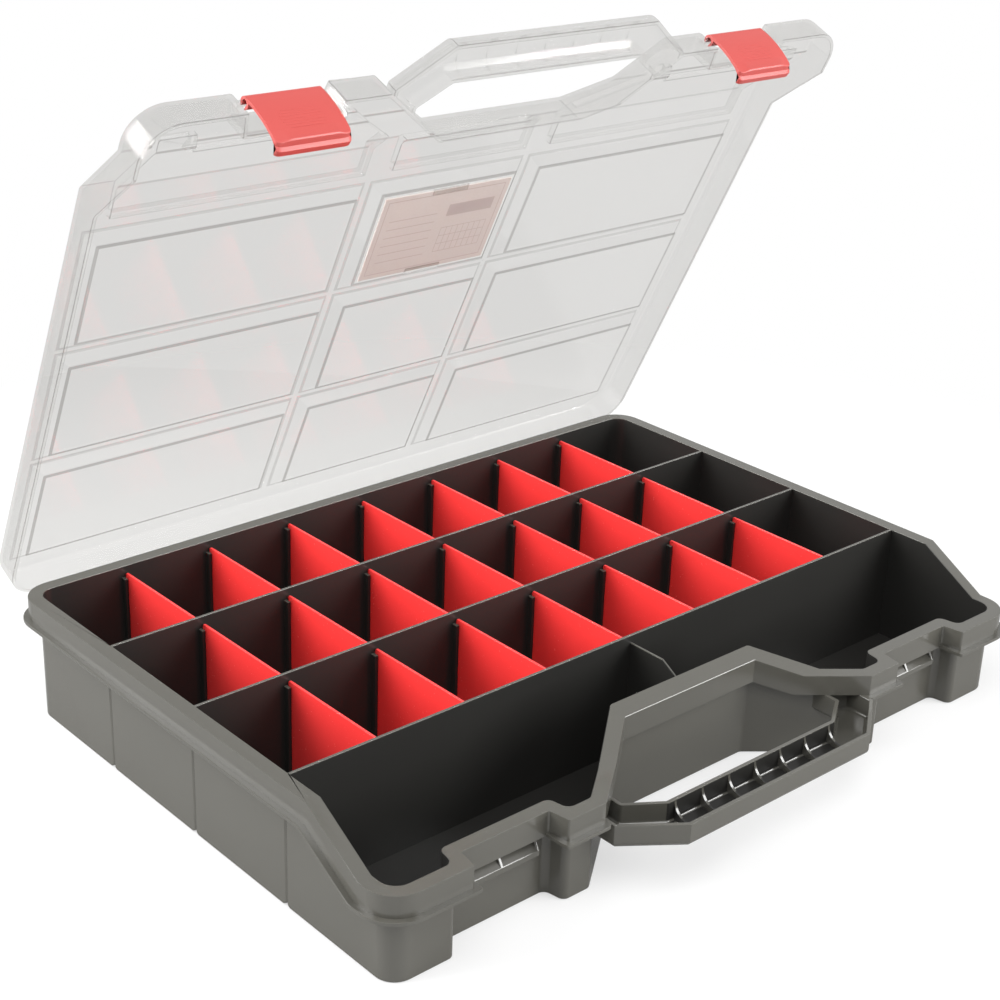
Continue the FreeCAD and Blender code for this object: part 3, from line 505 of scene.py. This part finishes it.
# %% Tray
tray = welded_copy("tray", "tray_moulding")
WALL_ENDS = 0.2165
for x in (-WALL_ENDS, WALL_ENDS):
    slice_at(tray, (x, 0.0, 0.0), (1.0, 0.0, 0.0))
soften_edges(tray, 0.0004)
stand_in(tray, "tray", "tray", "tray", tray_outside, tray_inside_painted_shade)

# %% Inside and outside of the tray
HALF_WIDTH = 0.217
HALF_DEPTH = 0.1518
FLOOR_TOP = 0.0022
WALL_TOP = 0.0595
PLAN_SLACK = 0.0015
LOOK_AHEAD = 0.0008
half_plan = [
    (0.0, -0.113), (0.0505, -0.113), (0.1003, -HALF_DEPTH), (0.1142, -HALF_DEPTH), (0.1162, -0.1401),
    (0.1822, -0.1401), (0.1842, -HALF_DEPTH), (HALF_WIDTH, -HALF_DEPTH), (HALF_WIDTH, HALF_DEPTH)]


def inside_plan(x, y):
    """Is a point of the plan between the inner faces of the tray's walls?"""
    x = abs(x)
    if x > HALF_WIDTH or y > HALF_DEPTH:
        return False
    for (x0, y0), (x1, y1) in zip(half_plan, half_plan[1:]):
        if x0 <= x <= x1 and x1 > x0:
            return y > y0 + (y1 - y0) * (x - x0) / (x1 - x0)
    return False


def near_inside(x, y):
    """The same question with a little slack all round, for points that lie on a wall."""
    steps = (-PLAN_SLACK, 0.0, PLAN_SLACK)
    return any(inside_plan(x + along, y + across) for along in steps for across in steps)


inside_count = 0
for face in tray.data.polygons:
    # The question is put a little way in front of the face, which is past the wall for an outer face
    corners = [tray.data.vertices[v].co + face.normal * LOOK_AHEAD for v in face.vertices]
    # Upward faces on the inner walls catch the light and keep the outside colour; the other faces inside
    # the cells get the near-black painted shade
    wall_top = min(c.z for c in corners) > WALL_TOP and face.normal.z > 0.3
    if not wall_top and all(c.z > FLOOR_TOP - 0.0005 and near_inside(c.x, c.y) for c in corners):
        face.material_index = 1
        inside_count += 1
print("inside faces:", inside_count)

# %% Painted shade inside the handle
# A face in the handle that looks at another one close by lies in its channel, and so does the floor of it;
# both get the near-black finish as painted shade of the channel
HANDLE_HALF = 0.0665
HANDLE_BACK = -0.154
CHANNEL_WIDTH = 0.026
CHANNEL_FLOOR = 0.036
channel_count = 0
for face in tray.data.polygons:
    centre = face.center
    if abs(centre.x) > HANDLE_HALF or centre.y > HANDLE_BACK:
        continue
    start = centre + face.normal * 0.0002
    faces_another = tray.ray_cast(start, face.normal, distance=CHANNEL_WIDTH)[0]
    looks_up = face.normal.z > 0.9 and centre.z < CHANNEL_FLOOR
    # Channel faces get the near-black finish as painted shade
    if faces_another or looks_up:
        face.material_index = 1
        channel_count += 1
print("channel faces:", channel_count)

# %% [markdown]
# ## The lid
#
# The lid is one clear moulding. Its rounded edges matter more than on the tray, because each small
# curve bends the light behind it into a line. The bevel gives them the darker edge tint, painted shade for
# that line, but the small faces at a window's corners, where two rounded edges meet, would turn into dark
# spots. These look along neither side of the lid, so they are found by their normals and set back to the
# clear finish.

# %% Lid
joints = {joint["name"]: joint for joint in frame["joints"]}
lid_angle = math.radians(-joints["lid_hinge"]["range_deg"][0])
CORNER_SLANT = 0.12
CORNER_RISE = 0.5
lid = welded_copy("lid", "lid_moulding")
lid.data.materials.append(lid_clear)
lid.data.materials.append(lid_edge_painted_shade)
# The bevel faces take the darker edge tint, which is painted shade for the lines along the edges
soften_edges(lid, 0.0009, sharper_than=22.0, smooth_below=20.0, edge_finish=1, steep_share=0.45)
back_to_closed = Matrix.Rotation(lid_angle, 3, "X")
for face in lid.data.polygons:
    across, along, up = back_to_closed @ face.normal
    at_corner = min(abs(across), abs(along)) > CORNER_SLANT and abs(up) > CORNER_RISE
    if face.material_index == 1 and at_corner:
        face.material_index = 0
stand_in(lid, "lid", "lid", "lid")

# %% [markdown]
# ## The latches
#
# A latch is a bowed red plate that hangs on an axle of the lid. The CAD plate is the same all along
# its width, and the real one isn't: its finger lip fades at both ends, the lower corners are
# round, and low ridges give the thumb a grip. It is easiest to shape upright, so we turn the copy
# back to where the axle is the origin, slice it into columns, move their corners, and turn it into
# place again. The top of the hook isn't moved, because it has to pass under its catch.

# %% Turn a latch upright
LATCH_LEAN = math.radians(10.0)
LATCH_HALF = 0.0205


def latch_seat(hand):
    """The turn and place that take an upright latch to where it hangs on the open lid."""
    axle = Vector(joints[f"latch_{hand}_pivot"]["pos_m"])
    return Matrix.Translation(axle) @ Matrix.Rotation(LATCH_LEAN - lid_angle, 4, "X")


def apply_turn(piece, turn):
    """Move a piece by a matrix and write that into its mesh."""
    piece.matrix_world = turn
    select_only(piece)
    bpy.ops.object.transform_apply(location=True, rotation=True, scale=True)


latch = welded_copy("latch_left", "latch_left_moulding")
apply_turn(latch, latch_seat("left").inverted())
low = [min(v.co[i] for v in latch.data.vertices) for i in range(3)]
high = [max(v.co[i] for v in latch.data.vertices) for i in range(3)]
print("upright latch:", [round(c * 1000, 2) for c in low], [round(c * 1000, 2) for c in high])

# %% Fade the lip and round the corners
COLUMNS = (0.011, 0.0135, 0.0155, 0.0172, 0.0184, 0.0194, 0.0200)
for x in COLUMNS:
    for side in (-x, x):
        slice_at(latch, (side, 0.0, 0.0), (1.0, 0.0, 0.0))
BOW_RADIUS = 0.060
BOW_CENTRE = (0.05524, -0.014)
LIP_TOP = -0.0219
LIP_MIDDLE = 0.0125
LIP_FADE = 0.0055
LIP_LEAST = 0.45
LIP_REST = 0.0003
CORNER = 0.0032
CORNER_TOP = -0.0235
CORNER_RUN = 0.0065
HOOK_TOP = -0.0282
HOOK_RUN = 0.0045
HOOK_ROOT = -0.0011


def bow_face(z):
    """Outer face of the bowed plate at a height."""
    return BOW_CENTRE[0] - math.sqrt(BOW_RADIUS ** 2 - (z - BOW_CENTRE[1]) ** 2)


for vertex in latch.data.vertices:
    x, y, z = vertex.co
    fade = min(max((abs(x) - LIP_MIDDLE) / LIP_FADE, 0.0), 1.0)
    fade = LIP_LEAST + (1.0 - LIP_LEAST) * fade * fade * (3.0 - 2.0 * fade)
    if z < LIP_TOP and y < bow_face(z) - 0.0002:
        vertex.co.y = y + (bow_face(z) - LIP_REST - y) * fade
    into_corner = max(abs(x) - (LATCH_HALF - CORNER), 0.0) / CORNER
    lift = CORNER * (1.0 - math.sqrt(max(1.0 - into_corner ** 2, 0.0)))
    in_hook = y > HOOK_ROOT and z < HOOK_TOP + 0.0005
    start, run = (HOOK_TOP, HOOK_RUN) if in_hook else (CORNER_TOP, CORNER_RUN)
    share = min(max((start - z) / run, 0.0), 1.0)
    vertex.co.z = z + lift * share
soften_edges(latch, 0.00025, sharper_than=30.0)

# %% Grip ridges
RIDGES = 7
RIDGE_TOP = -0.0108
RIDGE_PITCH = 0.0016
RIDGE_LENGTH = 0.024
RIDGE_TAPER = 0.0006
RIDGE_HEIGHT = 0.00014
RIDGE_THICKNESS = 0.0007
ridges = []
for i in range(RIDGES):
    z = RIDGE_TOP - RIDGE_PITCH * i
    bpy.ops.mesh.primitive_cube_add(size=1.0, location=(0.0, bow_face(z), z))
    ridge = bpy.context.object
    length = RIDGE_LENGTH - RIDGE_TAPER * (i - RIDGES // 2) ** 2
    ridge.scale = (length, RIDGE_HEIGHT, RIDGE_THICKNESS)
    select_only(ridge)
    bpy.ops.object.transform_apply(location=True, rotation=True, scale=True)
    ridges.append(soften_edges(ridge, 0.00006))
select_only(latch)
for ridge in ridges:
    ridge.select_set(True)
bpy.ops.object.join()
print("latch faces:", len(latch.data.polygons))

# %% Hang both latches
latch_right = latch.copy()
latch_right.data = latch.data.copy()
latch_right.name = "latch_right_moulding"
bpy.context.scene.collection.objects.link(latch_right)
for hand, piece in (("left", latch), ("right", latch_right)):
    apply_turn(piece, latch_seat(hand))
    stand_in(piece, f"latch_{hand}", f"latch_{hand}", "latch", latch_red)

# %% [markdown]
# ## The dividers
#
# Twenty-one equal plates stand in the tray. One is softened and the others are copies of
# it, each with its own mesh, moved to the place of their CAD node.

# %% Dividers
divider_nodes = sorted(n for n in frame["nodes"] if n.startswith("divider_"))
first_node = divider_nodes[0]
pattern = soften_edges(welded_copy(first_node, f"{first_node}_plate"), 0.0004)
for node in divider_nodes:
    plate = pattern
    if node != first_node:
        plate = bpy.data.objects.new(f"{node}_plate", pattern.data.copy())
        bpy.context.scene.collection.objects.link(plate)
        plate.data.materials.clear()
        apply_turn(plate, Matrix.Translation(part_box(node)[0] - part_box(first_node)[0]))
    stand_in(plate, node, node, "divider", divider_red)

# %% [markdown]
# ## The label card
#
# A thin card is held behind the middle window. It is printed with something plain: a frame, a few
# ruled lines to write on and a small plan of the cells. The pattern is drawn with coordinates
# that a Mapping node turns into the plane of the card, in metres from its middle.

# %% Card coordinates
card_low, card_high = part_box("label_card")
card_middle = (card_low + card_high) / 2
card_paper = bpy.data.materials.new("card_paper")
card_paper.use_nodes = True
tree = card_paper.node_tree
shader = tree.nodes["Principled BSDF"]
shader.inputs["Roughness"].default_value = 0.55
shader.inputs["Subsurface Weight"].default_value = 1.0
shader.inputs["Subsurface Radius"].default_value = (1.0, 0.9, 0.85)
shader.inputs["Subsurface Scale"].default_value = 0.002
place = tree.nodes.new("ShaderNodeTexCoord")
flat = tree.nodes.new("ShaderNodeMapping")
flat.vector_type = "TEXTURE"
flat.inputs["Location"].default_value = card_middle
flat.inputs["Rotation"].default_value = (-lid_angle, 0.0, 0.0)
axes = tree.nodes.new("ShaderNodeSeparateXYZ")
tree.links.new(place.outputs["Object"], flat.inputs["Vector"])
tree.links.new(flat.outputs["Vector"], axes.inputs["Vector"])


def card_math(operation, first, second=0.0):
    """One step of arithmetic on the card's coordinates."""
    return math_node(card_paper.node_tree, operation, first, second)


def card_box(x, y, half_x, half_y):
    """A mask that is 1 inside a rectangle of the card."""
    from_x = card_math("ABSOLUTE", card_math("SUBTRACT", axes.outputs["X"], x))
    from_y = card_math("ABSOLUTE", card_math("SUBTRACT", axes.outputs["Y"], y))
    across = card_math("LESS_THAN", from_x, half_x)
    along = card_math("LESS_THAN", from_y, half_y)
    return card_math("MULTIPLY", across, along)


def card_rules(axis, pitch, thickness):
    """Even lines across an axis of the card."""
    step = card_math("PINGPONG", axes.outputs[axis], pitch / 2)
    return card_math("LESS_THAN", step, thickness / 2)


print("card middle:", [round(c, 4) for c in card_middle])

# %% Card print
frame_line = card_math("SUBTRACT", card_box(0.0, 0.0, 0.0405, 0.0250), card_box(0.0, 0.0, 0.0399, 0.0244))
ruled = card_math("MULTIPLY", card_rules("Y", 0.0056, 0.0005), card_box(-0.0195, 0.0030, 0.0165, 0.0190))
cells = card_math("MAXIMUM", card_rules("X", 0.0040, 0.0004), card_rules("Y", 0.0056, 0.0004))
cells = card_math("MULTIPLY", cells, card_box(0.0200, 0.0084, 0.0162, 0.0086))
heading = card_box(0.0200, -0.0120, 0.0160, 0.0040)
ink = card_math("MAXIMUM", card_math("MAXIMUM", frame_line, ruled), card_math("MAXIMUM", cells, heading))
print("card print ends in:", ink.node.operation)

# %% Card colours
fibres = tree.nodes.new("ShaderNodeTexNoise")
fibres.inputs["Scale"].default_value = 900.0
fibres.inputs["Detail"].default_value = 4.0
tree.links.new(place.outputs["Object"], fibres.inputs["Vector"])
paper = tree.nodes.new("ShaderNodeMix")
paper.data_type = "RGBA"
paper.inputs["A"].default_value = (0.320, 0.290, 0.278, 1.0)
paper.inputs["B"].default_value = (0.355, 0.322, 0.310, 1.0)
tree.links.new(fibres.outputs["Fac"], paper.inputs["Factor"])
printed = tree.nodes.new("ShaderNodeMix")
printed.data_type = "RGBA"
printed.inputs["B"].default_value = (0.265, 0.230, 0.224, 1.0)
tree.links.new(ink, printed.inputs["Factor"])
tree.links.new(paper.outputs["Result"], printed.inputs["A"])
tree.links.new(printed.outputs["Result"], shader.inputs["Base Color"])
print("card print nodes:", len(tree.nodes))

# %% Card
card = soften_edges(welded_copy("label_card", "label_card_sheet"), 0.0001)
stand_in(card, "label_card", "lid", "card", card_paper)
